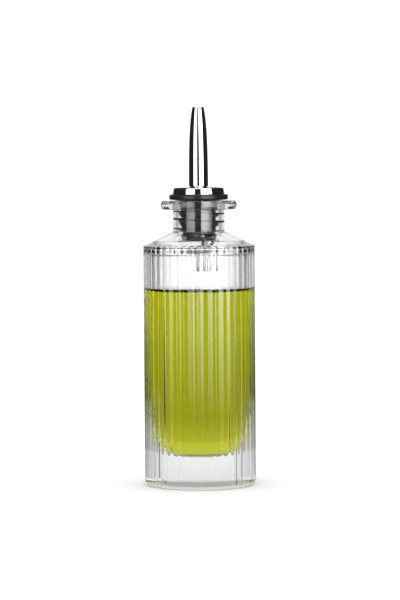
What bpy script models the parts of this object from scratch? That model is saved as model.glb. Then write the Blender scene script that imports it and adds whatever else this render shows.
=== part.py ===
"""Oil and vinegar bottle: ribbed glass bottle, oil, rubber stopper and steel pourer.

Units are metres, +Z is up, and the origin is the centre of the foot. Front is -Y.
"""

import math

import bmesh
import bpy
from mathutils import Matrix

# Points closer than this are one point
MERGE_DISTANCE = 0.000001
# Gap between pieces that touch in the real thing
GAP = 0.0003

# Bottle body: scooped flutes with a sharp rib between each two
BODY_RADIUS = 0.0253
FLUTE_COUNT = 44
FLUTE_DEPTH = 0.00042
FLUTE_TURN = math.radians(0.45)
RIB_SHARPNESS = 1.4
STEPS_PER_FLUTE = 4
FLUTE_FOOT_Z = 0.0012
ARCH_FOOT_Z = 0.1076
ARCH_TOP_Z = 0.1094
HEEL_RADIUS = 0.0019
FOOT_INNER_RADIUS = 0.0195
PUNT_DEPTH = 0.0008
PUNT_RADIUS = 0.0180
SHOULDER_Z = 0.1087
SHOULDER_EDGE_DROP = 0.0005
SHOULDER_EDGE_INSET = 0.0003
SMOOTH_INSET = 0.0016

# Shoulder, neck and collar
SHOULDER_SLOPE = 0.472
NECK_RADIUS = 0.01174
NECK_FILLET = 0.0007
COLLAR_RADIUS = 0.01737
COLLAR_BOTTOM_Z = 0.1252
COLLAR_TOP_Z = 0.12925
COLLAR_ROUNDING = 0.0007
BORE_RADIUS = 0.00925
MOUTH_CHAMFER = 0.0004

# Hollow inside the bottle
HOLLOW_RADIUS = 0.0210
HOLLOW_FLOOR_Z = 0.0135
BOWL_HEIGHT = 0.0390
BOWL_FLATNESS = 5.2
BOWL_FADE = 1.15
BOWL_STEPS = 8
HOLLOW_SHOULDER_ROUNDING = 0.0060
HOLLOW_NECK_ROUNDING = 0.0030
SHOULDER_WALL = 0.0030
ROUND_STEPS = 80

# Oil
OIL_LEVEL_Z = 0.0890

# Rubber stopper: each fin is given by the height of its edge and how far its foot lies below
RIM_RADIUS = 0.0134
RIM_THICKNESS = 0.0023
RIM_ROUNDING = 0.0008
CORE_RADIUS = 0.0077
CORE_BOTTOM_Z = 0.1095
FINS = ((0.1244, 0.0029), (0.1207, 0.0037), (0.1161, 0.0013))
FIN_EDGE = 0.0004
FIN_REACH = BORE_RADIUS - GAP - CORE_RADIUS
FIN_FULLNESS = 2.2
STOPPER_STEPS = 48

# Steel pourer
FLANGE_RADIUS = 0.01194
FLANGE_TOP_RADIUS = 0.0116
FLANGE_TOP_Z = 0.1352
FLANGE_ROUNDING = 0.0009
SPOUT_BASE_RADIUS = 0.00449
SPOUT_TIP_RADIUS = 0.00269
SPOUT_TIP_Z = 0.1715
SPOUT_TIP_ROUNDING = 0.0002
SPOUT_BORE_RADIUS = 0.0019
SPOUT_BORE_DEPTH = 0.0300
SPOUT_FOOT_ROUNDING = 0.0009
SPOUT_SHAPE = ((0.1, 0.0032), (0.3, 0.00376), (0.5, 0.00421), (0.7, 0.0044))
POURER_STEPS = 48

# Vent tube under the stopper
VENT_RADIUS = 0.0029
VENT_BORE_RADIUS = 0.0022
VENT_X = 0.0040
VENT_BOTTOM_Z = 0.0973
VENT_SOCKET_DEPTH = 0.0040
VENT_STEPS = 24


def clear_scene():
    """Remove every object that the file holds."""
    for thing in list(bpy.data.objects):
        bpy.data.objects.remove(thing, do_unlink=True)


def make_material(name, colour, roughness, metallic=0.0, transmission=0.0, ior=1.5):
    """Return a Principled material with the given plain values."""
    material = bpy.data.materials.new(name)
    material.use_nodes = True
    shader = material.node_tree.nodes["Principled BSDF"]
    shader.inputs["Base Color"].default_value = (*colour, 1.0)
    shader.inputs["Roughness"].default_value = roughness
    shader.inputs["Metallic"].default_value = metallic
    shader.inputs["Transmission Weight"].default_value = transmission
    shader.inputs["IOR"].default_value = ior
    return material


def arc(centre, radius, start, end, count):
    """Return count points of an arc in (radius, height), from start to end degrees."""
    points = []
    for i in range(count):
        angle = math.radians(start + (end - start) * i / (count - 1))
        points.append((centre[0] + radius * math.cos(angle), centre[1] + radius * math.sin(angle)))
    return points


def spin_outline(bm, outline, steps):
    """Turn an open outline of (radius, height) points about Z and return its new vertices in rings."""
    before = set(bm.verts)
    line = [bm.verts.new((radius, 0.0, height)) for radius, height in outline]
    edges = [bm.edges.new(pair) for pair in zip(line, line[1:])]
    bmesh.ops.spin(
        bm, geom=line + edges, cent=(0, 0, 0), axis=(0, 0, 1), angle=math.tau, steps=steps, use_merge=True
    )
    return [vert for vert in bm.verts if vert not in before]


def boundary_near(bm, radius, height):
    """Return the open edges whose ends lie on the ring of this radius and height."""
    found = []
    for edge in bm.edges:
        if edge.is_boundary and all(
            abs(math.hypot(v.co.x, v.co.y) - radius) < GAP and abs(v.co.z - height) < GAP for v in edge.verts
        ):
            found.append(edge)
    return found


def finish_object(bm, name, material, sharp_degrees=35.0):
    """Turn the bmesh into a smooth-shaded object with outward faces."""
    bmesh.ops.remove_doubles(bm, verts=bm.verts, dist=MERGE_DISTANCE)
    bmesh.ops.recalc_face_normals(bm, faces=bm.faces)
    mesh = bpy.data.meshes.new(name)
    bm.to_mesh(mesh)
    bm.free()
    mesh.shade_smooth()
    mesh.set_sharp_from_angle(angle=math.radians(sharp_degrees))
    mesh.materials.append(material)
    thing = bpy.data.objects.new(name, mesh)
    bpy.context.scene.collection.objects.link(thing)
    return thing


def shoulder_height(radius):
    """Return the height of the shoulder's outer cone at a radius."""
    return SHOULDER_Z + (BODY_RADIUS - radius) * SHOULDER_SLOPE


def flute_depth(turn, height):
    """Return how deep a flute is, at a share of a turn across it and a height of the outer wall.

    Each flute fades out in the heel and ends in a round arch at the shoulder.
    """
    scoop = abs(math.sin(math.pi * turn)) ** RIB_SHARPNESS
    foot = min(height / FLUTE_FOOT_Z, 1.0)
    climb = max(height - ARCH_FOOT_Z, 0.0) / (ARCH_TOP_Z - ARCH_FOOT_Z)
    return FLUTE_DEPTH * foot * max(scoop - climb**2, 0.0)


def press_flutes(bm, verts):
    """Move the outer wall's vertices in between the ribs, whose crests stay at full radius."""
    for vert in verts:
        turn = math.atan2(vert.co.y, vert.co.x) / math.tau * FLUTE_COUNT
        share = 1.0 - flute_depth(turn, vert.co.z) / math.hypot(vert.co.x, vert.co.y)
        vert.co.x *= share
        vert.co.y *= share
    bmesh.ops.rotate(bm, verts=verts, cent=(0, 0, 0), matrix=Matrix.Rotation(FLUTE_TURN, 3, "Z"))


def body_outline():
    """Return the fluted outer wall, from the foot ring up to the start of the shoulder."""
    heel = arc((BODY_RADIUS - HEEL_RADIUS, HEEL_RADIUS), HEEL_RADIUS, -90.0, 0.0, 4)
    edge_radius = BODY_RADIUS - SHOULDER_EDGE_INSET
    return heel + [
        (BODY_RADIUS, ARCH_FOOT_Z),
        (BODY_RADIUS, SHOULDER_Z - SHOULDER_EDGE_DROP),
        (edge_radius, shoulder_height(edge_radius)),
    ]


def bowl():
    """Return the hollow's deep rounded floor, from its middle out and up to the upright wall."""
    points = []
    for i in range(BOWL_STEPS + 1):
        share = math.sin(0.5 * math.pi * i / BOWL_STEPS)
        rise = 1.0 - (1.0 - share**BOWL_FLATNESS) ** (1.0 / BOWL_FADE)
        points.append((HOLLOW_RADIUS * share, HOLLOW_FLOOR_Z + BOWL_HEIGHT * rise))
    return points


def upper_outline():
    """Return the smooth stretch: shoulder, neck, collar, bore and the hollow down to its floor."""
    start_radius = BODY_RADIUS - SMOOTH_INSET
    neck_foot = NECK_RADIUS + NECK_FILLET
    collar_low = (COLLAR_RADIUS - COLLAR_ROUNDING, COLLAR_BOTTOM_Z + COLLAR_ROUNDING)
    collar_high = (COLLAR_RADIUS - COLLAR_ROUNDING, COLLAR_TOP_Z - COLLAR_ROUNDING)
    lean = math.atan(SHOULDER_SLOPE)
    slope = math.degrees(lean)
    drop = SHOULDER_WALL / math.cos(lean)
    neck_touch = BORE_RADIUS + HOLLOW_NECK_ROUNDING * (1.0 - math.sin(lean))
    neck_centre = (
        BORE_RADIUS + HOLLOW_NECK_ROUNDING,
        shoulder_height(neck_touch) - drop + HOLLOW_NECK_ROUNDING * math.cos(lean),
    )
    edge_touch = HOLLOW_RADIUS - HOLLOW_SHOULDER_ROUNDING * (1.0 - math.sin(lean))
    edge_centre = (
        HOLLOW_RADIUS - HOLLOW_SHOULDER_ROUNDING,
        shoulder_height(edge_touch) - drop - HOLLOW_SHOULDER_ROUNDING * math.cos(lean),
    )
    return (
        [(start_radius, shoulder_height(start_radius)), (neck_foot, shoulder_height(neck_foot))]
        + [(NECK_RADIUS, shoulder_height(neck_foot) + NECK_FILLET)]
        + [(NECK_RADIUS, COLLAR_BOTTOM_Z - COLLAR_ROUNDING), (NECK_RADIUS + COLLAR_ROUNDING, COLLAR_BOTTOM_Z)]
        + arc(collar_low, COLLAR_ROUNDING, -90.0, 0.0, 3)
        + arc(collar_high, COLLAR_ROUNDING, 0.0, 90.0, 3)
        + [(BORE_RADIUS + MOUTH_CHAMFER, COLLAR_TOP_Z), (BORE_RADIUS, COLLAR_TOP_Z - MOUTH_CHAMFER)]
        + arc(neck_centre, HOLLOW_NECK_ROUNDING, 180.0, 270.0 - slope, 4)
        + arc(edge_centre, HOLLOW_SHOULDER_ROUNDING, 90.0 - slope, 0.0, 5)
        + bowl()[::-1]
    )


def build_bottle():
    """Fluted bottle with a thick foot, smooth sloping shoulder, neck and wide flat collar."""
    glass = make_material("clear_glass", (0.93, 0.96, 0.95), 0.02, transmission=1.0)
    bm = bmesh.new()
    outer = body_outline()
    upper = upper_outline()
    press_flutes(bm, spin_outline(bm, outer, FLUTE_COUNT * STEPS_PER_FLUTE))
    spin_outline(bm, upper, ROUND_STEPS)
    foot = [(0.0, PUNT_DEPTH), (PUNT_RADIUS, PUNT_DEPTH), (FOOT_INNER_RADIUS, 0.0)]
    spin_outline(bm, foot, ROUND_STEPS)
    bmesh.ops.remove_doubles(bm, verts=bm.verts, dist=MERGE_DISTANCE)
    for lower, higher in ((outer[-1], upper[0]), (foot[-1], outer[0])):
        rings = boundary_near(bm, *lower) + boundary_near(bm, *higher)
        bmesh.ops.bridge_loops(bm, edges=rings)
    return finish_object(bm, "bottle_glass", glass)


def build_oil():
    """The oil: a solid that fills the hollow up to the level shown."""
    oil = make_material("olive_oil", (0.55, 0.60, 0.05), 0.03, transmission=0.8, ior=1.47)
    share = 1.0 - GAP / HOLLOW_RADIUS
    side = [(radius * share, height + GAP) for radius, height in bowl()]
    bm = bmesh.new()
    spin_outline(bm, side + [(HOLLOW_RADIUS - GAP, OIL_LEVEL_Z), (0.0, OIL_LEVEL_Z)], ROUND_STEPS)
    return finish_object(bm, "oil", oil)


def fin_outline(top, rise):
    """Return one sealing fin: a dished top, a thin edge, and a full underside that curves in to the core."""
    outline = [(CORE_RADIUS, top - FIN_EDGE), (CORE_RADIUS + FIN_REACH, top)]
    for share in (0.0, 0.45, 0.75, 1.0):
        radius = CORE_RADIUS + FIN_REACH * (1.0 - share**FIN_FULLNESS)
        outline.append((radius, top - FIN_EDGE - (rise - FIN_EDGE) * share))
    return outline


def build_stopper():
    """Black rubber stopper: a rim on the collar, and a core with three flared sealing fins in the bore."""
    rubber = make_material("black_rubber", (0.012, 0.012, 0.012), 0.35)
    rim_low = COLLAR_TOP_Z + GAP
    rim_high = rim_low + RIM_THICKNESS
    side = RIM_RADIUS - RIM_ROUNDING
    outline = [(0.0, rim_high)]
    outline += arc((side, rim_high - RIM_ROUNDING), RIM_ROUNDING, 90.0, 0.0, 3)
    outline += arc((side, rim_low + RIM_ROUNDING), RIM_ROUNDING, 0.0, -90.0, 3)
    outline += [(CORE_RADIUS, rim_low)]
    for top, rise in FINS:
        outline += fin_outline(top, rise)
    outline += [(CORE_RADIUS, CORE_BOTTOM_Z + FIN_EDGE), (CORE_RADIUS - FIN_EDGE, CORE_BOTTOM_Z)]
    outline += [(0.0, CORE_BOTTOM_Z)]
    bm = bmesh.new()
    spin_outline(bm, outline, STOPPER_STEPS)
    stopper = finish_object(bm, "stopper", rubber)
    socket = bmesh.new()
    bmesh.ops.create_cone(
        socket,
        cap_ends=True,
        segments=VENT_STEPS,
        radius1=VENT_RADIUS + GAP,
        radius2=VENT_RADIUS + GAP,
        depth=2.0 * VENT_SOCKET_DEPTH,
    )
    bmesh.ops.translate(socket, verts=socket.verts, vec=(VENT_X, 0.0, CORE_BOTTOM_Z))
    cutter = finish_object(socket, "vent_socket_cutter", rubber)
    cutter.hide_render = True
    cutter.display_type = "WIRE"
    cut = stopper.modifiers.new("vent_socket", "BOOLEAN")
    cut.operation = "DIFFERENCE"
    cut.object = cutter
    return stopper


def build_pourer():
    """Polished steel pourer: a flange disc and a tapered spout with a narrow bore from its tip."""
    steel = make_material("polished_steel", (0.80, 0.80, 0.80), 0.06, metallic=1.0)
    flange_low = COLLAR_TOP_Z + RIM_THICKNESS + 2.0 * GAP
    spout_height = SPOUT_TIP_Z - FLANGE_TOP_Z
    outline = [(0.0, flange_low), (FLANGE_RADIUS, flange_low)]
    corner = (FLANGE_TOP_RADIUS - FLANGE_ROUNDING, FLANGE_TOP_Z - FLANGE_ROUNDING)
    outline += arc(corner, FLANGE_ROUNDING, 0.0, 90.0, 4)
    outline += [(SPOUT_BASE_RADIUS - SPOUT_FOOT_ROUNDING, FLANGE_TOP_Z)]
    outline += [(SPOUT_BASE_RADIUS, FLANGE_TOP_Z + SPOUT_FOOT_ROUNDING)]
    for drop, radius in reversed(SPOUT_SHAPE):
        outline.append((radius, SPOUT_TIP_Z - drop * spout_height))
    tip = (SPOUT_TIP_RADIUS - SPOUT_TIP_ROUNDING, SPOUT_TIP_Z - SPOUT_TIP_ROUNDING)
    outline += arc(tip, SPOUT_TIP_ROUNDING, 0.0, 90.0, 2)
    bore_floor = SPOUT_TIP_Z - SPOUT_BORE_DEPTH
    outline += [(SPOUT_BORE_RADIUS, SPOUT_TIP_Z), (SPOUT_BORE_RADIUS, bore_floor), (0.0, bore_floor)]
    bm = bmesh.new()
    spin_outline(bm, outline, POURER_STEPS)
    return finish_object(bm, "pourer", steel)


def build_vent_tube():
    """Thin steel vent tube that hangs from the underside of the stopper."""
    steel = make_material("vent_steel", (0.62, 0.62, 0.62), 0.2, metallic=1.0)
    top = CORE_BOTTOM_Z + VENT_SOCKET_DEPTH - GAP
    outline = [
        (VENT_BORE_RADIUS, VENT_BOTTOM_Z),
        (VENT_RADIUS, VENT_BOTTOM_Z),
        (VENT_RADIUS, top),
        (0.0, top),
        (0.0, top - VENT_RADIUS),
        (VENT_BORE_RADIUS, top - VENT_RADIUS),
        (VENT_BORE_RADIUS, VENT_BOTTOM_Z),
    ]
    bm = bmesh.new()
    spin_outline(bm, outline, VENT_STEPS)
    tube = finish_object(bm, "vent_tube", steel)
    tube.location = (VENT_X, 0.0, 0.0)
    return tube


def main():
    """Build the bottle and its contents."""
    clear_scene()
    build_bottle()
    build_oil()
    build_stopper()
    build_pourer()
    build_vent_tube()


main()
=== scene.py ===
"""Ribbed oil bottle with a steel pourer: fine surfaces, finishes, studio and camera.

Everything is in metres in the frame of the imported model: the bottle stands on z = 0 with its axis
on Z, and the camera looks along +Y.
"""

from __future__ import annotations

import logging
import math
from dataclasses import dataclass, field, replace
from enum import Enum
from typing import Callable

import bmesh
import bpy
from mathutils import Euler, Matrix, Vector

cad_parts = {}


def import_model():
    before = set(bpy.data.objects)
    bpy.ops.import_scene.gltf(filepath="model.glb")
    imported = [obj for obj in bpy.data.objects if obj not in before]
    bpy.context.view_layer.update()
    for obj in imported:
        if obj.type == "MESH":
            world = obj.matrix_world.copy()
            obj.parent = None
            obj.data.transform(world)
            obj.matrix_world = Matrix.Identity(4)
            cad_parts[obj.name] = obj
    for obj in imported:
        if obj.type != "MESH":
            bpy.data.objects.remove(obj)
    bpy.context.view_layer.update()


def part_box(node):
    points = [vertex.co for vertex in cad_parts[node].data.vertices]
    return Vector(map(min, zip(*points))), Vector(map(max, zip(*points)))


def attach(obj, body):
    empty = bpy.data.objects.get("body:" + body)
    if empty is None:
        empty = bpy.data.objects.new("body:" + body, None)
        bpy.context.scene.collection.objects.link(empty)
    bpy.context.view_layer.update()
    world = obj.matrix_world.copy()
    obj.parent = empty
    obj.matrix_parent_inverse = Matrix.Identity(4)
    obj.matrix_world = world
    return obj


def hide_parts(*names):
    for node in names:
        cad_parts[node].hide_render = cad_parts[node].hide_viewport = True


LOG = logging.getLogger("oil_bottle")
BODY = "root"
MERGE_DISTANCE = 1e-6
# Edges that turn more than this stay sharp
SHARP_ANGLE = math.radians(50.0)
# How far the oil and the fins reach into the glass, so that no air gap shows
BITE = 0.00002
# How far the oil climbs the wall above its level's middle height
WETTED_ABOVE = 0.0006
# The uneven roughness has this many patches for each grain of the bump
PATCHES_PER_GRAIN = 0.2
# Where nearly all of a noise texture's values lie
NOISE_SPAN = (0.3, 0.7)

Colour = tuple[float, float, float]
Point = tuple[float, float]
Stops = list[tuple[float, float]]


class Slot(Enum):
    """Names of the pieces' material slots."""

    GLASS = "clear_glass"
    OIL = "olive_oil"
    RUBBER = "black_rubber"
    STEEL = "polished_steel"
    VENT = "vent_steel"


class Mixed(Enum):
    """What a Mix node mixes."""

    NUMBERS = "FLOAT"
    COLOURS = "RGBA"


class Outline:
    """An open line of (radius, height) points, which is turned about the bottle's axis."""

    def __init__(self, *points: Point) -> None:
        """Start the line with the given points."""
        self.points: list[Point] = list(points)

    def to(self, radius: float, height: float, steps: int = 1) -> "Outline":
        """Run straight to a point.

        Args:
            radius: distance of the new point from the axis.
            height: height of the new point.
            steps: how many stretches the run is cut into.

        Returns:
            This outline, so that calls can be chained.
        """
        return self.curve((radius, height), steps, lambda share: share)

    def arc(self, centre: Point, size: float, start: float, end: float, steps: int = 6) -> "Outline":
        """Add an arc.

        Args:
            centre: (radius, height) of the arc's centre.
            size: the arc's radius.
            start: first angle in degrees, from the direction away from the axis. It may lie a
                little past the last point's own angle, which spares a crowded point.
            end: last angle in degrees.
            steps: how many stretches the arc is cut into.

        Returns:
            This outline, so that calls can be chained.
        """
        for i in range(steps + 1):
            angle = math.radians(start + (end - start) * i / steps)
            self.points.append((centre[0] + size * math.cos(angle), centre[1] + size * math.sin(angle)))
        return self

    def curve(self, end: Point, steps: int, law: Callable[[float], float]) -> "Outline":
        """Run to a point with a bulge.

        Args:
            end: (radius, height) of the last point.
            steps: how many stretches the run is cut into.
            law: gives the share of the radius change at each share of the height change.

        Returns:
            This outline, so that calls can be chained.
        """
        from_radius, from_height = self.points[-1]
        for i in range(1, steps + 1):
            share = i / steps
            radius = from_radius + (end[0] - from_radius) * law(share)
            self.points.append((radius, from_height + (end[1] - from_height) * share))
        return self

    def spin(self, steps: int, bm: bmesh.types.BMesh | None = None) -> bmesh.types.BMesh:
        """Turn the line about Z.

        Args:
            steps: how many flats go round.
            bm: the mesh to add to, or None for a new one.

        Returns:
            The mesh, with the joined seam and closed poles.
        """
        bm = bm or bmesh.new()
        line = [bm.verts.new((radius, 0.0, height)) for radius, height in self.points]
        edges = [bm.edges.new(pair) for pair in zip(line, line[1:])]
        bmesh.ops.spin(
            bm,
            geom=line + edges,
            cent=(0.0, 0.0, 0.0),
            axis=(0.0, 0.0, 1.0),
            angle=math.tau,
            steps=steps,
            use_merge=True,
        )
        bmesh.ops.remove_doubles(bm, verts=bm.verts, dist=MERGE_DISTANCE)
        return bm


def smooth_share(value: float, low: float, high: float) -> float:
    """Return 0 below low, 1 above high and a smooth step between them."""
    share = min(max((value - low) / (high - low), 0.0), 1.0)
    return share * share * (3.0 - 2.0 * share)


def new_object(bm: bmesh.types.BMesh, name: str, material: bpy.types.Material) -> bpy.types.Object:
    """Put a finished mesh into the scene.

    Args:
        bm: the mesh, which is freed.
        name: the name of the object and of its mesh.
        material: the material that it wears.

    Returns:
        The new object.
    """
    mesh = bpy.data.meshes.new(name)
    bm.to_mesh(mesh)
    bm.free()
    mesh.materials.append(material)
    thing = bpy.data.objects.new(name, mesh)
    bpy.context.scene.collection.objects.link(thing)
    return thing


def add_piece(
    bm: bmesh.types.BMesh, name: str, finish: "Finish", slot: Slot, *nodes: str
) -> bpy.types.Object:
    """Make a finished piece that rides on the bottle and stands for CAD nodes.

    Args:
        bm: the piece's closed mesh, which is freed.
        name: the piece's name.
        finish: the finish that it wears.
        slot: not used.
        nodes: the CAD nodes that it replaces.

    Returns:
        The new object.
    """
    bmesh.ops.recalc_face_normals(bm, faces=bm.faces)
    piece = new_object(bm, name, finish.make())
    piece.data.shade_smooth()
    piece.data.set_sharp_from_angle(angle=SHARP_ANGLE)
    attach(piece, BODY)
    if nodes:
        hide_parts(*nodes)
    LOG.info("%s: %d faces", name, len(piece.data.polygons))
    return piece


def new_material(name: str) -> bpy.types.Material:
    """Return a new material with a plain Principled shader."""
    material = bpy.data.materials.new(name)
    material.use_nodes = True
    return material


def glow_material(name: str) -> tuple[bpy.types.Material, bpy.types.NodeSocket]:
    """Make a material that only glows.

    Args:
        name: the material's name.

    Returns:
        The material, and the socket of the glow's strength.
    """
    material = new_material(name)
    tree = material.node_tree
    tree.nodes.clear()
    glow = tree.nodes.new("ShaderNodeEmission")
    out = tree.nodes.new("ShaderNodeOutputMaterial")
    tree.links.new(glow.outputs["Emission"], out.inputs["Surface"])
    return material, glow.inputs["Strength"]


def feed(
    tree: bpy.types.NodeTree,
    socket: bpy.types.NodeSocket,
    value: bpy.types.NodeSocket | float | tuple[float, ...],
) -> None:
    """Set a socket to a plain value, or link it.

    Args:
        tree: the nodes that the socket is part of.
        socket: the input to feed.
        value: a number, a colour with its alpha, or the output to read from.
    """
    if isinstance(value, bpy.types.NodeSocket):
        tree.links.new(value, socket)
    else:
        socket.default_value = value


def calculate(
    tree: bpy.types.NodeTree, operation: str, *values: bpy.types.NodeSocket | float
) -> bpy.types.NodeSocket:
    """Add a Math node.

    Args:
        tree: the nodes to add to.
        operation: the Math node's operation.
        values: its numbers, or the outputs to read them from.

    Returns:
        The socket of the result.
    """
    node = tree.nodes.new("ShaderNodeMath")
    node.operation = operation
    for socket, value in zip(node.inputs, values):
        feed(tree, socket, value)
    return node.outputs["Value"]


def rescale(
    tree: bpy.types.NodeTree, value: bpy.types.NodeSocket, span: Point, target: Point = (0.0, 1.0)
) -> bpy.types.NodeSocket:
    """Add a Map Range node, whose result stays within the target.

    Args:
        tree: the nodes to add to.
        value: the output to read from.
        span: the values that are spread over the target.
        target: the results at the span's two ends.

    Returns:
        The socket of the result.
    """
    node = tree.nodes.new("ShaderNodeMapRange")
    node.inputs["From Min"].default_value, node.inputs["From Max"].default_value = span
    node.inputs["To Min"].default_value, node.inputs["To Max"].default_value = target
    tree.links.new(value, node.inputs["Value"])
    return node.outputs["Result"]


def mix(
    tree: bpy.types.NodeTree,
    kind: Mixed,
    share: bpy.types.NodeSocket,
    first: bpy.types.NodeSocket | tuple[float, ...],
    second: bpy.types.NodeSocket | tuple[float, ...],
) -> bpy.types.NodeSocket:
    """Add a Mix node.

    Args:
        tree: the nodes to add to.
        kind: whether numbers or colours are mixed.
        share: the output that gives the second value's share.
        first: a colour with its alpha, or the output to read from.
        second: the same for the second value.

    Returns:
        The socket of the result.
    """
    node = tree.nodes.new("ShaderNodeMix")
    node.data_type = kind.value
    feed(tree, node.inputs["Factor"], share)
    feed(tree, node.inputs["A"], first)
    feed(tree, node.inputs["B"], second)
    return node.outputs["Result"]


def place_parts(tree: bpy.types.NodeTree) -> bpy.types.bpy_prop_collection:
    """Return the sockets of the Object coordinates' X, Y and Z."""
    place = tree.nodes.new("ShaderNodeTexCoord")
    split = tree.nodes.new("ShaderNodeSeparateXYZ")
    tree.links.new(place.outputs["Object"], split.inputs["Vector"])
    return split.outputs


def distance_from_axis(tree: bpy.types.NodeTree) -> bpy.types.NodeSocket:
    """Return the socket of the distance from the bottle's axis."""
    place = tree.nodes.new("ShaderNodeTexCoord")
    flat = tree.nodes.new("ShaderNodeVectorMath")
    flat.operation = "MULTIPLY"
    flat.inputs[1].default_value = (1.0, 1.0, 0.0)
    reach = tree.nodes.new("ShaderNodeVectorMath")
    reach.operation = "LENGTH"
    tree.links.new(place.outputs["Object"], flat.inputs[0])
    tree.links.new(flat.outputs["Vector"], reach.inputs[0])
    return reach.outputs["Value"]


def direction(tree: bpy.types.NodeTree) -> bpy.types.NodeSocket:
    """Return a socket that runs from 0 to 1 once round the bottle's axis, with 0.5 at the back."""
    parts = place_parts(tree)
    turn = calculate(tree, "ARCTAN2", parts["X"], parts["Y"])
    return rescale(tree, turn, (-math.pi, math.pi))


@dataclass(frozen=True)
class Finish:
    """A procedural surface: a Principled shader with uneven roughness and a fine bump.

    All patterns follow Object coordinates, in metres.
    """

    name: str
    colour: Colour
    roughness_low: float
    roughness_high: float
    bump_size: float
    bump_height: float
    grain: Vector
    metallic: float = 0.0
    ior: float = 1.5
    specular: float = 0.5
    shine: float = 1.0
    transmission: float = 0.0
    tint: Colour | None = None
    tint_density: float = 0.0

    def shader(self, tree: bpy.types.NodeTree) -> bpy.types.ShaderNode:
        """Return the material's Principled shader with its plain values set."""
        shader = tree.nodes["Principled BSDF"]
        shader.inputs["Base Color"].default_value = (*self.colour, 1.0)
        shader.inputs["Metallic"].default_value = self.metallic
        shader.inputs["IOR"].default_value = self.ior
        shader.inputs["Specular IOR Level"].default_value = self.specular
        shader.inputs["Specular Tint"].default_value = (self.shine, self.shine, self.shine, 1.0)
        shader.inputs["Transmission Weight"].default_value = self.transmission
        return shader

    def grain_texture(
        self, tree: bpy.types.NodeTree, scale: float, detail: float
    ) -> bpy.types.NodeSocket:
        """Add a noise texture on stretched Object coordinates.

        Args:
            tree: the material's nodes.
            scale: how many grains fit in a metre.
            detail: octaves of the noise.

        Returns:
            The socket of the noise.
        """
        place = tree.nodes.new("ShaderNodeTexCoord")
        mapping = tree.nodes.new("ShaderNodeMapping")
        mapping.inputs["Scale"].default_value = self.grain
        texture = tree.nodes.new("ShaderNodeTexNoise")
        texture.inputs["Scale"].default_value = scale
        texture.inputs["Detail"].default_value = detail
        tree.links.new(place.outputs["Object"], mapping.inputs["Vector"])
        tree.links.new(mapping.outputs["Vector"], texture.inputs["Vector"])
        return texture.outputs["Fac"]

    def make(self) -> bpy.types.Material:
        """Build the material.

        Returns:
            The new material.
        """
        material = new_material(self.name)
        tree = material.node_tree
        shader = self.shader(tree)
        patches = self.grain_texture(tree, PATCHES_PER_GRAIN / self.bump_size, detail=3.0)
        roughness = rescale(tree, patches, NOISE_SPAN, (self.roughness_low, self.roughness_high))
        tree.links.new(roughness, shader.inputs["Roughness"])
        grains = self.grain_texture(tree, 1.0 / self.bump_size, detail=2.0)
        bump = tree.nodes.new("ShaderNodeBump")
        bump.inputs["Strength"].default_value = 1.0
        bump.inputs["Distance"].default_value = self.bump_height
        tree.links.new(grains, bump.inputs["Height"])
        tree.links.new(bump.outputs["Normal"], shader.inputs["Normal"])
        if self.tint is not None:
            volume = tree.nodes.new("ShaderNodeVolumeAbsorption")
            volume.inputs["Color"].default_value = (*self.tint, 1.0)
            volume.inputs["Density"].default_value = self.tint_density
            tree.links.new(volume.outputs["Volume"], tree.nodes["Material Output"].inputs["Volume"])
        return material


@dataclass(frozen=True)
class WettedGlass(Finish):
    """Clear glass whose inner wall has no mirror shine of its own where the oil wets it."""

    wet_radius: float = 0.0
    wet_floor: float = 0.0
    wet_level: float = 0.0

    def shader(self, tree: bpy.types.NodeTree) -> bpy.types.ShaderNode:
        """Return the glass shader, with its shine switched off on the wetted wall."""
        shader = super().shader(tree)
        height = place_parts(tree)["Z"]
        inside = calculate(tree, "LESS_THAN", distance_from_axis(tree), self.wet_radius)
        above = calculate(tree, "GREATER_THAN", height, self.wet_floor)
        below = calculate(tree, "LESS_THAN", height, self.wet_level)
        wet = calculate(tree, "MULTIPLY", calculate(tree, "MULTIPLY", inside, above), below)
        dry = calculate(tree, "SUBTRACT", 1.0, wet)
        tree.links.new(dry, shader.inputs["Specular Tint"])
        return shader


CLEAR_GLASS = WettedGlass(
    name="clear_glass",
    colour=(1.0, 1.0, 1.0),
    roughness_low=0.0,
    roughness_high=0.012,
    bump_size=0.004,
    bump_height=0.0000025,
    grain=Vector((1.0, 1.0, 0.35)),
    ior=1.5,
    transmission=1.0,
    tint=(0.70, 0.74, 0.73),
    tint_density=8.0,
)
OLIVE_OIL = Finish(
    name="olive_oil",
    colour=(1.0, 1.0, 1.0),
    roughness_low=0.0,
    roughness_high=0.01,
    bump_size=0.012,
    bump_height=0.000001,
    grain=Vector((1.0, 1.0, 1.0)),
    ior=1.47,
    shine=0.0,
    transmission=1.0,
    tint=(0.851, 0.860, 0.07),
    tint_density=136.0,
)
BLACK_RUBBER = Finish(
    name="black_rubber",
    colour=(0.012, 0.012, 0.012),
    roughness_low=0.26,
    roughness_high=0.40,
    bump_size=0.0006,
    bump_height=0.000008,
    grain=Vector((1.0, 1.0, 1.0)),
    ior=1.5,
    specular=0.29,
)
POLISHED_STEEL = Finish(
    name="polished_steel",
    colour=(0.80, 0.80, 0.79),
    roughness_low=0.015,
    roughness_high=0.04,
    bump_size=0.0005,
    bump_height=0.0000012,
    grain=Vector((0.15, 0.15, 3.0)),
    metallic=1.0,
)
VENT_STEEL = Finish(
    name="vent_steel",
    colour=(0.28, 0.28, 0.28),
    roughness_low=0.32,
    roughness_high=0.45,
    bump_size=0.0004,
    bump_height=0.000003,
    grain=Vector((2.0, 2.0, 0.1)),
    metallic=1.0,
)


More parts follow.
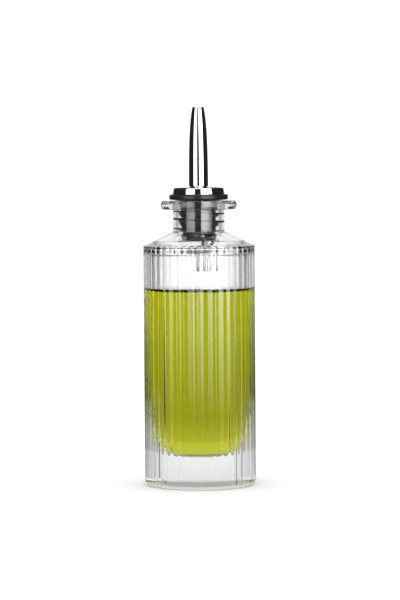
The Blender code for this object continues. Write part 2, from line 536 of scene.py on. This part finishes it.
@dataclass
class GlassBottle:
    """The ribbed bottle: thick foot, upright ribs, smooth shoulder, neck, collar and hollow."""

    body_radius: float
    collar_top: float
    wet_height: float
    flute_count: int = 44
    crest_turn: float = math.radians(0.45)
    flute_depth: float = 0.00042
    crest_sharpness: float = 1.4
    steps_per_flute: int = 12
    heel: float = 0.0019
    flute_foot: float = 0.0012
    foot_inner_radius: float = 0.0195
    punt_radius: float = 0.0180
    punt_depth: float = 0.0008
    shoulder_height: float = 0.1087
    shoulder_slope: float = 0.472
    shoulder_edge: float = 0.0006
    edge_drop: float = 1.1
    arch_top: float = 0.1094
    neck_radius: float = 0.01174
    neck_fillet: float = 0.0009
    collar_radius: float = 0.01737
    collar_thickness: float = 0.00405
    collar_rounding: float = 0.0007
    collar_bulge: float = 0.0003
    bore_radius: float = 0.00925
    mouth_rounding: float = 0.0004
    hollow_radius: float = 0.0210
    floor_height: float = 0.0135
    bowl_height: float = 0.0390
    bowl_flatness: float = 5.2
    bowl_fade: float = 1.15
    bowl_steps: int = 40
    inner_shoulder_rounding: float = 0.0060
    inner_neck_rounding: float = 0.0030
    wall: float = 0.0030

    def slope(self) -> float:
        """Return the shoulder's slope in degrees."""
        return math.degrees(math.atan(self.shoulder_slope))

    def cone(self, radius: float) -> float:
        """Return the height of the shoulder's outer cone at a radius."""
        return self.shoulder_height + (self.body_radius - radius) * self.shoulder_slope

    def collar_bottom(self) -> float:
        """Return the height of the collar's underside."""
        return self.collar_top - self.collar_thickness

    def arch_rise(self) -> float:
        """Return the height of the round arch that ends each flute: half a flute's width."""
        return math.pi * self.body_radius / self.flute_count

    def bowl(self) -> list[Point]:
        """Return the hollow's deep rounded floor, from its middle out and up to the upright wall."""
        points = []
        for i in range(self.bowl_steps + 1):
            share = math.sin(0.5 * math.pi * i / self.bowl_steps)
            rise = 1.0 - (1.0 - share**self.bowl_flatness) ** (1.0 / self.bowl_fade)
            points.append((self.hollow_radius * share, self.floor_height + self.bowl_height * rise))
        return points

    def add_wall(self, outline: Outline) -> None:
        """Add the foot, the heel and the upright wall up to the shoulder's edge.

        Args:
            outline: the section so far, which starts in the middle of the foot.
        """
        heel_centre = (self.body_radius - self.heel, self.heel)
        outline.to(self.punt_radius, self.punt_depth, 4)
        outline.to(self.foot_inner_radius, 0.0, 2)
        outline.to(self.body_radius - self.heel, 0.0, 2)
        outline.arc(heel_centre, self.heel, -81.0, 0.0, 10)
        outline.to(self.body_radius, self.arch_top - self.arch_rise(), 5)

    def add_shoulder(self, outline: Outline) -> None:
        """Add the shoulder and the neck up to the collar.

        Args:
            outline: the section so far, which ends at the foot of the flutes' arches.
        """
        edge_radius = self.body_radius - self.shoulder_edge
        edge_centre = (edge_radius, self.cone(edge_radius) - self.shoulder_edge * self.edge_drop)
        smooth_start = self.body_radius - (self.arch_top - self.shoulder_height) / self.shoulder_slope
        neck_foot = self.neck_radius + self.neck_fillet
        fillet_centre = (neck_foot, self.cone(neck_foot) + self.neck_fillet)
        outline.to(self.body_radius, edge_centre[1], 8)
        outline.arc(edge_centre, self.shoulder_edge, 10.0, 90.0 - self.slope(), 6)
        outline.to(smooth_start, self.cone(smooth_start), 8)
        outline.to(neck_foot, self.cone(neck_foot), 5)
        outline.arc(fillet_centre, self.neck_fillet, -110.0, -180.0, 5)
        outline.to(self.neck_radius, self.collar_bottom() - self.collar_rounding, 3)

    def add_collar(self, outline: Outline) -> None:
        """Add the collar, whose side bulges like a barrel, and the rounding into the mouth.

        Args:
            outline: the section so far, which ends on the neck under the collar.
        """
        rounding = self.collar_rounding
        bottom = self.collar_bottom()
        half = 0.5 * self.collar_thickness - rounding
        barrel_size = (half**2 + self.collar_bulge**2) / (2.0 * self.collar_bulge)
        barrel_centre = (self.collar_radius - barrel_size, self.collar_top - 0.5 * self.collar_thickness)
        barrel_reach = math.degrees(math.asin(half / barrel_size))
        flat_end = self.collar_radius - self.collar_bulge - rounding
        mouth_centre = (self.bore_radius + self.mouth_rounding, self.collar_top - self.mouth_rounding)
        outline.arc((self.neck_radius + rounding, bottom - rounding), rounding, 180.0, 90.0, 4)
        outline.to(flat_end, bottom, 3)
        outline.arc((flat_end, bottom + rounding), rounding, -75.0, -barrel_reach, 6)
        outline.arc(barrel_centre, barrel_size, -barrel_reach, barrel_reach, 12)
        outline.arc((flat_end, self.collar_top - rounding), rounding, barrel_reach, 90.0, 6)
        outline.to(mouth_centre[0], self.collar_top, 3)
        outline.arc(mouth_centre, self.mouth_rounding, 105.0, 180.0, 4)

    def add_hollow(self, outline: Outline) -> None:
        """Add the hollow, from the bore down to the middle of its floor.

        Args:
            outline: the section so far, which ends at the top of the bore.
        """
        slope = self.slope()
        lean = math.radians(slope)
        drop = self.wall / math.cos(lean)
        neck = self.inner_neck_rounding
        neck_radius = self.bore_radius + neck
        neck_touch = neck_radius - neck * math.sin(lean)
        neck_centre = (neck_radius, self.cone(neck_touch) - drop + neck * math.cos(lean))
        edge = self.inner_shoulder_rounding
        edge_start = self.hollow_radius - edge * (1.0 - math.sin(lean))
        edge_height = self.cone(edge_start) - drop
        edge_centre = (self.hollow_radius - edge, edge_height - edge * math.cos(lean))
        outline.to(self.bore_radius, neck_centre[1], 4)
        outline.arc(neck_centre, neck, 188.0, 270.0 - slope, 8)
        outline.to(edge_start, edge_height, 4)
        outline.arc(edge_centre, edge, 90.0 - slope, 0.0, 10)
        outline.points += reversed(self.bowl())

    def press_flutes(self, bm: bmesh.types.BMesh) -> None:
        """Sink a shallow scoop between each two crests, with an arched top and a faded foot.

        Args:
            bm: the spun bottle, with a crest on the X axis.
        """
        inner_limit = 0.5 * (self.hollow_radius + self.body_radius - self.heel)
        arch_foot = self.arch_top - self.arch_rise()
        for vert in bm.verts:
            radius = math.hypot(vert.co.x, vert.co.y)
            if radius < inner_limit or vert.co.z >= self.arch_top:
                continue
            turn = 0.5 * math.atan2(vert.co.y, vert.co.x) * self.flute_count
            scoop = abs(math.sin(turn)) ** self.crest_sharpness
            climb = max(vert.co.z - arch_foot, 0.0) / self.arch_rise()
            foot = smooth_share(vert.co.z, 0.0, self.flute_foot)
            depth = self.flute_depth * foot * max(scoop - climb**2, 0.0)
            vert.co.x *= 1.0 - depth / radius
            vert.co.y *= 1.0 - depth / radius

    def build(self) -> bpy.types.Object:
        """Model the bottle and dress it.

        Returns:
            The bottle's piece.
        """
        outline = Outline((0.0, self.punt_depth))
        self.add_wall(outline)
        self.add_shoulder(outline)
        self.add_collar(outline)
        self.add_hollow(outline)
        bm = outline.spin(self.flute_count * self.steps_per_flute)
        self.press_flutes(bm)
        turn = Matrix.Rotation(self.crest_turn, 3, "Z")
        bmesh.ops.rotate(bm, verts=bm.verts, cent=(0.0, 0.0, 0.0), matrix=turn)
        middle_of_wall = 0.5 * (self.hollow_radius + self.body_radius)
        middle_of_base = 0.5 * self.floor_height
        finish = replace(
            CLEAR_GLASS, wet_radius=middle_of_wall, wet_floor=middle_of_base, wet_level=self.wet_height
        )
        return add_piece(bm, "ribbed_glass", finish, Slot.GLASS, "bottle_glass")


@dataclass
class Oil:
    """The oil: it fills the hollow and reaches just into the glass, with a curved rim at its level."""

    bottle: GlassBottle
    rim_height: float = 0.0012
    rim_width: float = 0.0018
    rim_fullness: float = 0.8
    steps: int = 256

    def rim(self, share: float) -> float:
        """Return how much of the rim's width is done at a share of its height, from the wall."""
        return 1.0 - math.sqrt(1.0 - share**self.rim_fullness)

    def build(self) -> bpy.types.Object:
        """Model the oil and dress it.

        Returns:
            The oil's piece.
        """
        level = self.bottle.wet_height - self.rim_height
        radius = self.bottle.hollow_radius + BITE
        stretch = radius / self.bottle.hollow_radius
        bowl = [(reach * stretch, height - BITE) for reach, height in self.bottle.bowl()]
        outline = (
            Outline(*bowl)
            .to(radius, self.bottle.wet_height, 4)
            .curve((radius - self.rim_width, level), 10, self.rim)
            .to(0.0, level, 4)
        )
        return add_piece(outline.spin(self.steps), "olive_oil_fill", OLIVE_OIL, Slot.OIL, "oil")


@dataclass
class Stopper:
    """Black rubber stopper: a rim that rests on the collar and a core with three flared fins."""

    bottle: GlassBottle
    core_bottom: float
    rim_radius: float
    rim_top: float
    rim_rounding: float = 0.0006
    rim_lift: float = 0.0003
    core_radius: float = 0.0077
    core_rounding: float = 0.0004
    foot_ring_height: float = 0.0022
    foot_ring_width: float = 0.0011
    foot_ring_rounding: float = 0.0003
    mouth_bead: float = 0.0011
    mouth_bead_height: float = 0.0026
    mouth_bead_steps: int = 8
    fin_tops: tuple[float, ...] = (0.1244, 0.1207, 0.1161)
    fin_rises: tuple[float, ...] = (0.0029, 0.0037, 0.0013)
    fin_edge: float = 0.0004
    fin_fullness: float = 2.2
    fin_lean: float = 0.075
    steps: int = 192

    def add_rim(self, outline: Outline) -> None:
        """Add the rim's side and the flat that rests on the collar.

        Args:
            outline: the stopper's outline so far, which ends on the rim's top.
        """
        low = self.bottle.collar_top + BITE
        side = self.rim_radius - self.rim_rounding
        upper = (side, self.rim_top - self.rim_rounding)
        lower = (side, low + self.rim_lift + self.rim_rounding)
        outline.to(side, self.rim_top, 3)
        outline.arc(upper, self.rim_rounding, 72.0, 0.0, 4)
        outline.arc(lower, self.rim_rounding, 0.0, -80.0, 5)
        outline.to(self.bottle.bore_radius, low, 3)

    def add_mouth_bead(self, outline: Outline) -> None:
        """Add the swollen bead that sits in the bottle's mouth.

        Args:
            outline: the stopper's outline so far, which ends at the mouth.
        """
        top = self.bottle.collar_top + BITE - self.mouth_bead
        outline.to(self.core_radius, top)
        for i in range(1, self.mouth_bead_steps):
            share = i / self.mouth_bead_steps
            swell = self.mouth_bead * math.sin(math.pi * share)
            outline.to(self.core_radius + swell, top - share * self.mouth_bead_height)

    def add_fin(self, outline: Outline, top: float, rise: float) -> None:
        """Add one fin, from above: a dished top, a thin edge in the glass and a full underside.

        Args:
            outline: the stopper's outline so far.
            top: height of the fin's edge.
            rise: how far the fin's foot lies below its edge.
        """
        reach = self.bottle.bore_radius + BITE
        outline.to(self.core_radius, top - self.fin_edge, 2)
        outline.to(reach, top)
        outline.to(reach, top - self.fin_edge)
        outline.curve((self.core_radius, top - rise), 8, lambda share: share**self.fin_fullness)

    def add_foot(self, outline: Outline) -> None:
        """Add the thin ring near the core's foot, and the foot itself.

        Args:
            outline: the stopper's outline so far, which ends under the last fin.
        """
        ring = self.foot_ring_rounding
        ring_top = self.core_bottom + self.foot_ring_height
        ring_bottom = ring_top - self.foot_ring_width
        rounding = self.core_rounding
        corner = (self.core_radius - rounding, self.core_bottom + rounding)
        outline.to(self.core_radius, ring_top, 2)
        outline.arc((self.core_radius, ring_top - ring), ring, 90.0, 0.0, 3)
        outline.arc((self.core_radius, ring_bottom + ring), ring, 0.0, -90.0, 3)
        outline.to(self.core_radius, corner[1])
        outline.arc(corner, rounding, -20.0, -90.0, 4)
        outline.to(0.0, self.core_bottom, 3)

    def bend_fins(self, bm: bmesh.types.BMesh) -> None:
        """Let the soft fins sit a little lower on the right, as they do in the neck.

        Args:
            bm: the spun stopper.
        """
        width = self.bottle.bore_radius - self.core_radius
        collar_bottom = self.bottle.collar_bottom()
        for vert in bm.verts:
            radius = math.hypot(vert.co.x, vert.co.y)
            if vert.co.z < collar_bottom and radius > self.core_radius:
                vert.co.z -= self.fin_lean * vert.co.x * smooth_share(radius - self.core_radius, 0.0, width)

    def build(self) -> bpy.types.Object:
        """Model the stopper and dress it.

        Returns:
            The stopper's piece.
        """
        outline = Outline((0.0, self.rim_top))
        self.add_rim(outline)
        self.add_mouth_bead(outline)
        for top, rise in zip(self.fin_tops, self.fin_rises):
            self.add_fin(outline, top, rise)
        self.add_foot(outline)
        bm = outline.spin(self.steps)
        self.bend_fins(bm)
        return add_piece(bm, "rubber_stopper", BLACK_RUBBER, Slot.RUBBER, "stopper")


@dataclass
class Pourer:
    """Polished steel pourer: a flange disc and a tapered spout with a bore from its tip."""

    base: float
    tip: float
    flange_radius: float
    flange_top: float = 0.1352
    flange_top_radius: float = 0.0116
    flange_rounding: float = 0.0009
    spout_radius: float = 0.00449
    foot_rounding: float = 0.0009
    taper_even: float = 0.06
    taper_soft: float = 0.34
    taper_late: float = 0.60
    tip_radius: float = 0.00272
    tip_rounding: float = 0.00025
    bore_radius: float = 0.0019
    bore_depth: float = 0.030
    chamfer: float = 0.0002
    steps: int = 192

    def taper(self, share: float) -> float:
        """Return how much of the spout's taper is done at a share of its height."""
        return self.taper_even * share + self.taper_soft * share**2 + self.taper_late * share**5

    def build(self) -> bpy.types.Object:
        """Model the pourer and dress it.

        Returns:
            The pourer's piece.
        """
        corner = (self.flange_top_radius - self.flange_rounding, self.flange_top - self.flange_rounding)
        foot = (self.spout_radius - self.foot_rounding, self.flange_top + self.foot_rounding)
        spout_top = self.tip - self.tip_rounding
        bore_floor = self.tip - self.bore_depth
        outline = (
            Outline((0.0, self.base))
            .to(self.flange_radius - self.chamfer, self.base, 3)
            .to(self.flange_radius, self.base + self.chamfer)
            .arc(corner, self.flange_rounding, 5.0, 90.0, 7)
            .to(foot[0], self.flange_top, 3)
            .arc(foot, self.foot_rounding, -75.0, 0.0, 6)
            .curve((self.tip_radius, spout_top), 26, self.taper)
            .arc((self.tip_radius - self.tip_rounding, spout_top), self.tip_rounding, 15.0, 90.0, 5)
            .to(self.bore_radius + self.chamfer, self.tip)
            .to(self.bore_radius, self.tip - self.chamfer)
            .to(self.bore_radius, bore_floor, 4)
            .to(0.0, bore_floor)
        )
        return add_piece(outline.spin(self.steps), "steel_pourer", POLISHED_STEEL, Slot.STEEL, "pourer")


@dataclass
class VentTube:
    """Thin steel tube that hangs under the stopper."""

    low: Vector
    high: Vector
    bore_share: float = 0.76
    chamfer: float = 0.0001
    steps: int = 64

    def build(self) -> bpy.types.Object:
        """Model the tube and dress it.

        Returns:
            The tube's piece.
        """
        radius = 0.5 * (self.high.x - self.low.x)
        bore = radius * self.bore_share
        roof = self.high.z - radius
        outside = (
            Outline((bore, self.low.z))
            .to(radius - self.chamfer, self.low.z)
            .to(radius, self.low.z + self.chamfer)
            .to(radius, self.high.z, 4)
            .to(0.0, self.high.z)
        )
        inside = Outline((0.0, roof)).to(bore, roof).to(bore, self.low.z, 4)
        bm = outside.spin(self.steps)
        inside.spin(self.steps, bm)
        centre = (0.5 * (self.low.x + self.high.x), 0.5 * (self.low.y + self.high.y), 0.0)
        bmesh.ops.translate(bm, verts=bm.verts, vec=centre)
        return add_piece(bm, "vent_pipe", VENT_STEEL, Slot.VENT, "vent_tube")


@dataclass
class LightRing:
    """An upright ring of light panels and dark flags round the bottle, unseen by the camera.

    It glows one way where it is seen straight through the glass, and another way by reflection.
    """

    radius: float = 0.15
    height: float = 0.245
    lift: float = 0.001
    segments: int = 96
    glass_white: float = 0.94
    glass_dark: float = 0.70
    dim_height: float = 0.014
    clear_height: float = 0.058
    through_foot: float = 0.73
    near_floor: float = 1.27
    left_panel: float = 3.8
    right_panel: float = 7.0
    right_panel_edge: float = 4.0
    panel_dark: float = 0.02
    fade_foot: float = 0.022
    fade_top: float = 0.082
    mirror_foot: float = 0.08
    inner_dark: float = 0.42
    inner_surfaces: float = 2.0
    inner_spread: float = 1.2

    def strongest(self) -> float:
        """Return the glow of the strongest panel, which the colour ramps count as 1."""
        return max(self.left_panel, self.right_panel)

    def through_stops(self) -> Stops:
        """Return (degrees from the back, glow) for what shows straight through the glass."""
        white, dark = self.glass_white, self.glass_dark
        half = [(0.0, white), (30.0, white), (38.0, dark), (70.0, dark), (80.0, white), (180.0, white)]
        return [(-angle, glow) for angle, glow in reversed(half)] + half[1:]

    def mirror_stops(self) -> Stops:
        """Return (degrees from the back, glow) for what shows by way of a reflection."""
        left, right, side, dark = self.left_panel, self.right_panel, self.right_panel_edge, self.panel_dark
        return [
            (-180.0, dark), (-163.5, dark), (-161.5, left), (-125.0, left), (-123.0, dark),
            (-35.0, dark), (-30.0, self.glass_white), (30.0, self.glass_white), (35.0, dark),
            (120.5, dark), (122.5, side), (136.0, side), (138.0, right), (168.0, right),
            (170.0, dark), (180.0, dark),
        ]

    def ramp(
        self, tree: bpy.types.NodeTree, share: bpy.types.NodeSocket, stops: Stops
    ) -> bpy.types.NodeSocket:
        """Add a colour ramp that follows the direction.

        Args:
            tree: the material's nodes.
            share: the socket that runs from 0 to 1 once round.
            stops: (degrees from the back, glow) pairs.

        Returns:
            The ramp's colour, as a share of the strongest panel.
        """
        ramp = tree.nodes.new("ShaderNodeValToRGB")
        elements = ramp.color_ramp.elements
        while len(elements) < len(stops):
            elements.new(0.5)
        for element, (angle, glow) in zip(elements, stops):
            grey = glow / self.strongest()
            element.position = (angle + 180.0) / 360.0
            element.color = (grey, grey, grey, 1.0)
        tree.links.new(share, ramp.inputs["Fac"])
        return ramp.outputs["Color"]

    @staticmethod
    def fade(
        tree: bpy.types.NodeTree, glow: bpy.types.NodeSocket, low: float, high: float, share: float
    ) -> bpy.types.NodeSocket:
        """Change a glow toward the foot of the ring.

        Args:
            tree: the ring's nodes.
            glow: the socket of the glow's strength.
            low: the height up to which the change is complete.
            high: the height from which there is none.
            share: what the glow is multiplied by at the foot.

        Returns:
            The socket of the changed glow.
        """
        left = rescale(tree, place_parts(tree)["Z"], (low, high), (share, 1.0))
        return calculate(tree, "MULTIPLY", glow, left)

    def material(self) -> bpy.types.Material:
        """Make the ring's glow, which changes with the direction from the bottle.

        What is seen straight through the glass is a white surround with soft dark zones. What is
        seen by way of a reflection is two bright panels in front, dark sides and a white back. A
        reflection inside the glass never gets fully dark.

        Returns:
            The new material.
        """
        material, strength = glow_material("light_ring")
        tree = material.node_tree
        path = tree.nodes.new("ShaderNodeLightPath").outputs
        share = direction(tree)
        seen = self.ramp(tree, share, self.through_stops())
        seen = self.fade(tree, seen, self.dim_height, self.clear_height, self.through_foot)
        seen = self.fade(tree, seen, 0.0, self.dim_height, self.near_floor)
        mirrored = self.ramp(tree, share, self.mirror_stops())
        mirrored = self.fade(tree, mirrored, self.fade_foot, self.fade_top, self.mirror_foot)
        surfaces = path["Transmission Depth"]
        inner = calculate(tree, "COMPARE", surfaces, self.inner_surfaces, self.inner_spread)
        least = calculate(tree, "MULTIPLY", inner, self.inner_dark / self.strongest())
        mirrored = calculate(tree, "MAXIMUM", mirrored, least)
        bounced = calculate(tree, "GREATER_THAN", path["Glossy Depth"], 0.5)
        glow = mix(tree, Mixed.NUMBERS, bounced, seen, mirrored)
        tree.links.new(calculate(tree, "MULTIPLY", glow, self.strongest()), strength)
        return material

    def build(self) -> bpy.types.Object:
        """Stand the ring round the bottle.

        Returns:
            The ring's object.
        """
        bm = bmesh.new()
        bmesh.ops.create_cone(
            bm,
            cap_ends=False,
            segments=self.segments,
            radius1=self.radius,
            radius2=self.radius,
            depth=self.height,
        )
        bmesh.ops.translate(bm, verts=bm.verts, vec=(0.0, 0.0, 0.5 * self.height + self.lift))
        bmesh.ops.reverse_faces(bm, faces=bm.faces)
        ring = new_object(bm, "light_ring", self.material())
        ring.visible_camera = False
        ring.visible_diffuse = False
        ring.visible_shadow = False
        return ring


@dataclass
class Floor:
    """White floor, which shows through the glass the ring's pattern as painted shade and a painted pool of
    oil-tinted light under the bottle.
    """

    ring: LightRing
    size: float = 12.0
    roughness: float = 0.60
    seen: Colour = (0.82, 0.82, 0.82)
    # Painted shade: the floor's grey for all rays but the camera's, darker than what the camera sees, so it
    # shows darker through the glass.
    through: float = 0.67
    # Painted light: the oil-tinted light that falls on the floor under the bottle, painted into its colour
    # for all rays but the camera's; whole within the first radius below, gone by the second.
    painted_oil_light: Colour = (0.42, 0.46, 0.06)
    oil_light_radius: float = 0.024
    oil_light_edge: float = 0.034

    def stops(self) -> Stops:
        """Return (degrees from the back, grey) of the painted shade that the floor shows through the glass.
        """
        share = self.through * self.ring.strongest() / self.ring.glass_white
        return [(angle, glow * share) for angle, glow in self.ring.through_stops()]

    def material(self) -> bpy.types.Material:
        """Make the floor's finish: plain for the camera; painted shade in the ring's pattern and a painted
        pool of oil-tinted light for all other rays.

        Returns:
            The new material.
        """
        material = new_material("white_floor")
        tree = material.node_tree
        shader = tree.nodes["Principled BSDF"]
        shader.inputs["Roughness"].default_value = self.roughness
        shader.inputs["Specular IOR Level"].default_value = 0.0
        # Painted shade: the ring's dark zones copied onto the floor's colour, seen only through the glass.
        painted_ring_shade = self.ring.ramp(tree, direction(tree), self.stops())
        # Painted light: the pool of oil-tinted light under the bottle takes the place of the painted shade
        # near the axis.
        outside_oil_light = rescale(tree, distance_from_axis(tree), (self.oil_light_radius, self.oil_light_edge))
        painted_light_and_shade = mix(tree, Mixed.COLOURS, outside_oil_light, (*self.painted_oil_light, 1.0), painted_ring_shade)
        camera_ray = tree.nodes.new("ShaderNodeLightPath").outputs["Is Camera Ray"]
        colour = mix(tree, Mixed.COLOURS, camera_ray, painted_light_and_shade, (*self.seen, 1.0))
        tree.links.new(colour, shader.inputs["Base Color"])
        return material

    def build(self) -> bpy.types.Object:
        """Lay the floor.

        Returns:
            The floor's object.
        """
        bm = bmesh.new()
        bmesh.ops.create_grid(bm, x_segments=2, y_segments=2, size=self.size)
        floor = new_object(bm, "floor", self.material())
        return floor


@dataclass
class TopLight:
    """A soft light above the front, which only reflections show."""

    glow: float = 4.0
    place: Vector = field(default_factory=lambda: Vector((0.01, -0.20, 0.42)))
    aim: Vector = field(default_factory=lambda: Vector((0.0, 0.0, 0.12)))
    width: float = 0.16
    depth: float = 0.14

    def build(self) -> bpy.types.Object:
        """Hang the light.

        Returns:
            The light's object.
        """
        bm = bmesh.new()
        bmesh.ops.create_grid(bm, x_segments=1, y_segments=1, size=0.5)
        bmesh.ops.scale(bm, verts=bm.verts, vec=(self.width, self.depth, 1.0))
        facing = (self.aim - self.place).to_track_quat("Z", "Y").to_matrix()
        bmesh.ops.rotate(bm, verts=bm.verts, cent=(0.0, 0.0, 0.0), matrix=facing)
        bmesh.ops.translate(bm, verts=bm.verts, vec=self.place)
        material, strength = glow_material("top_light")
        strength.default_value = self.glow
        light = new_object(bm, "top_light", material)
        light.visible_camera = False
        light.visible_diffuse = False
        light.visible_transmission = False
        light.visible_shadow = False
        return light


@dataclass
class Surround:
    """White all round, which is dark only for plain reflections on the outside of the bottle."""

    white: float = 1.5
    dark: float = 0.10

    def build(self) -> bpy.types.World:
        """Set the world up.

        Returns:
            The new world.
        """
        world = bpy.data.worlds.new("white_surround")
        bpy.context.scene.world = world
        world.use_nodes = True
        tree = world.node_tree
        background = tree.nodes["Background"]
        background.inputs["Color"].default_value = (1.0, 1.0, 1.0, 1.0)
        path = tree.nodes.new("ShaderNodeLightPath").outputs
        outside = calculate(tree, "LESS_THAN", path["Transmission Depth"], 0.5)
        plain = calculate(tree, "MULTIPLY", path["Is Glossy Ray"], outside)
        strength = rescale(tree, plain, (0.0, 1.0), (self.white, self.dark))
        tree.links.new(strength, background.inputs["Strength"])
        return world


@dataclass
class PhotoCamera:
    """The photo's viewpoint: a long lens at the height of the pourer, looking slightly down."""

    lens: float = 162.6
    sensor_width: float = 36.0
    near: float = 0.05
    far: float = 50.0
    distance: float = 1.230
    height: float = 0.150
    tilt: float = math.radians(3.073)
    roll: float = math.radians(0.40)
    aim_right: float = 0.0003

    def build(self) -> bpy.types.Object:
        """Place the camera and make it the scene's own.

        Returns:
            The camera's object.
        """
        data = bpy.data.cameras.new("photo_camera")
        data.lens = self.lens
        data.sensor_width = self.sensor_width
        data.clip_start = self.near
        data.clip_end = self.far
        camera = bpy.data.objects.new("photo_camera", data)
        camera.location = (self.aim_right, -self.distance, self.height)
        turned = Euler((math.pi / 2.0 - self.tilt, 0.0, 0.0)).to_matrix()
        camera.rotation_euler = (turned @ Euler((0.0, 0.0, -self.roll)).to_matrix()).to_euler()
        bpy.context.scene.collection.objects.link(camera)
        bpy.context.scene.camera = camera
        return camera


def build_bottle() -> None:
    """Build every piece of the bottle from the frame's sizes."""
    glass_low, glass_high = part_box("bottle_glass")
    bottle = GlassBottle(
        body_radius=0.5 * (glass_high.x - glass_low.x),
        collar_top=glass_high.z,
        wet_height=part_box("oil")[1].z + WETTED_ABOVE,
    )
    bottle.build()
    Oil(bottle).build()
    stopper_low, stopper_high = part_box("stopper")
    pourer_low, pourer_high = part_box("pourer")
    rim_top = 0.5 * (stopper_high.z + pourer_low.z)
    Stopper(bottle, core_bottom=stopper_low.z, rim_radius=stopper_high.x, rim_top=rim_top).build()
    Pourer(base=rim_top + BITE, tip=pourer_high.z, flange_radius=pourer_high.x).build()
    VentTube(*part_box("vent_tube")).build()


def build_studio() -> None:
    """Set up the floor, the lights, the white surround and the camera."""
    ring = LightRing()
    Floor(ring).build()
    ring.build()
    TopLight().build()
    Surround().build()
    bpy.context.scene.view_settings.view_transform = "Standard"
    PhotoCamera().build()


def main() -> None:
    """Load the frame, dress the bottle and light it."""
    logging.basicConfig(level=logging.INFO, format="%(name)s %(message)s")
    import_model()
    build_bottle()
    build_studio()


if __name__ == "__main__":
    main()
